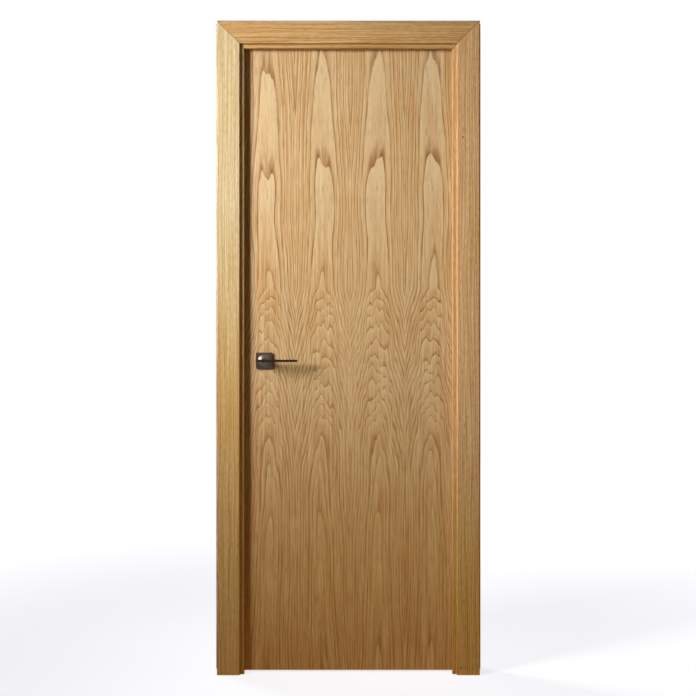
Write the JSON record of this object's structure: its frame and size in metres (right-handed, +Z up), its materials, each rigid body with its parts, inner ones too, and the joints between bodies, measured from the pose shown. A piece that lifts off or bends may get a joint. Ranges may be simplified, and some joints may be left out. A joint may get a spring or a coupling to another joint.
{
  "type": "interior door",
  "caption": "Flush oak-veneered interior door in a mitred rebated lining with architraves, hung on knuckle hinges and opened by a slim lever on a square rose.",
  "frame": {"origin": "floor level on the wall face of the hinge jamb, half way through the lining", "axes": "+X across the wall out of the hinge jamb, +Y through the wall to the side the leaf opens to, +Z up"},
  "size_m": [0.905, 0.1648, 2.208],
  "materials": {
    "oak_veneer": "crown-cut oak veneer, clear satin lacquer",
    "oak_straight": "straight-grained oak, clear satin lacquer",
    "oak_lipping": "solid oak strip, clear satin lacquer",
    "softwood": "sawn pine, unfinished",
    "core_board": "pressed chipboard, raw",
    "seal_rubber": "dark brown extruded rubber",
    "satin_steel": "satin",
    "dark_nickel": "dark satin nickel plate"
  },
  "bodies": {
    "frame": {"hinge_jamb": "oak_straight", "latch_jamb": "oak_straight", "head_jamb": "oak_straight", "front_hinge_architrave": "oak_straight", "front_latch_architrave": "oak_straight", "front_head_architrave": "oak_straight", "back_hinge_architrave": "oak_straight", "back_latch_architrave": "oak_straight", "back_head_architrave": "oak_straight", "hinge_seal": "seal_rubber", "latch_seal": "seal_rubber", "head_seal": "seal_rubber", "strike_plate": "satin_steel", "bottom_hinge_frame_plate": "satin_steel", "middle_hinge_frame_plate": "satin_steel", "top_hinge_frame_plate": "satin_steel", "bottom_hinge_pin": "satin_steel", "middle_hinge_pin": "satin_steel", "top_hinge_pin": "satin_steel"},
    "door_leaf": {"front_face": "oak_veneer", "back_face": "oak_veneer", "hinge_lipping": "oak_lipping", "latch_lipping": "oak_lipping", "hinge_stile": "softwood", "latch_stile": "softwood", "top_rail": "softwood", "bottom_rail": "softwood", "leaf_core": "core_board", "latch_plate": "satin_steel", "latch_case": "satin_steel", "latch_bolt": "satin_steel", "bottom_hinge_leaf_plate": "satin_steel", "middle_hinge_leaf_plate": "satin_steel", "top_hinge_leaf_plate": "satin_steel", "front_rose": "dark_nickel", "back_rose": "dark_nickel"},
    "lever_set": {"front_lever": "dark_nickel", "back_lever": "dark_nickel", "spindle": "satin_steel"}
  },
  "joints": [
    {"name": "door_swing", "type": "hinge", "parent": "frame", "child": "door_leaf", "pos_m": [-0.0255, 0.0365, 1.063], "axis": [0, 0, -1], "range_deg": [0, 165]},
    {"name": "lever_turn", "type": "hinge", "parent": "door_leaf", "child": "lever_set", "pos_m": [-0.6755, 0.01, 1.055], "axis": [0, 1, 0], "range_deg": [0, 40], "stiffness_Nm_per_rad": 1.2, "springref_deg": -22.92}
  ]
}
